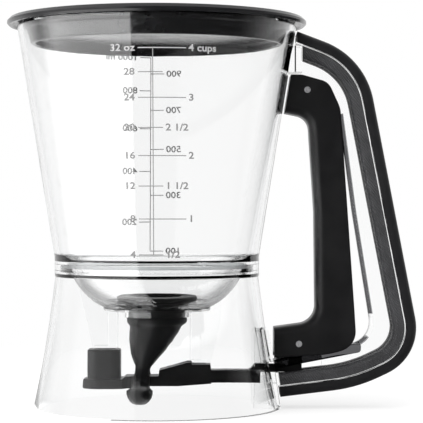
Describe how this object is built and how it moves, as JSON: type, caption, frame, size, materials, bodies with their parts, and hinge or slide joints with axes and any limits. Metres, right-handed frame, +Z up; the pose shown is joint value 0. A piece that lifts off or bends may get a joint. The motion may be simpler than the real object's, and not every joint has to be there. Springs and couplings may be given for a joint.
{
  "type": "pancake batter dispenser",
  "caption": "Clear waisted batter dispenser with a push-on lid, a pinched silicone spout under the bowl and a squeeze trigger inside a D-handle.",
  "frame": {"origin": "centre of the base rim, on the jug's axis, at the table", "axes": "+Z up along the jug's axis, +X towards the handle, +Y away from the viewer of the picture"},
  "size_m": [0.1931, 0.1416, 0.184],
  "materials": {
    "clear_plastic": "clear gloss",
    "clear_seal": "satin",
    "black_lid": "satin",
    "soft_grip": "satin",
    "inner_grip": "matte",
    "silicone": "satin",
    "black_plastic": "satin",
    "steel": "brushed"
  },
  "bodies": {
    "root": {"container": "clear_plastic", "waist_seal": "clear_seal", "bowl_floor": "clear_plastic", "base_skirt": "clear_plastic", "handle_frame": "clear_plastic", "outer_grip": "soft_grip", "inner_grip": "inner_grip", "spout": "silicone", "fixed_jaw": "black_plastic", "return_spring": "steel"},
    "lid": {"lid": "black_lid"},
    "trigger": {"trigger": "black_plastic", "pivot_pin": "steel", "drive_pin": "steel"},
    "slider": {"slider_arm": "black_plastic"}
  },
  "joints": [
    {"name": "lid_lift", "type": "slide", "parent": "root", "child": "lid", "axis": [0, 0, 1], "range_m": [0, 0.04]},
    {"name": "trigger_pivot", "type": "hinge", "parent": "root", "child": "trigger", "pos_m": [0.071, 0, 0.1501], "axis": [0, -1, 0], "range_deg": [0, 3.15], "stiffness_Nm_per_rad": 6, "springref_deg": -6.88, "deforming": ["return_spring"]},
    {"name": "slider_slide", "type": "slide", "parent": "root", "child": "slider", "axis": [1, 0, 0], "range_m": [0, 0.00657], "deforming": ["spout"]}
  ],
  "couplings": [
    {"joint": "slider_slide", "follows": "trigger_pivot", "m_per_rad": 0.1195}
  ]
}
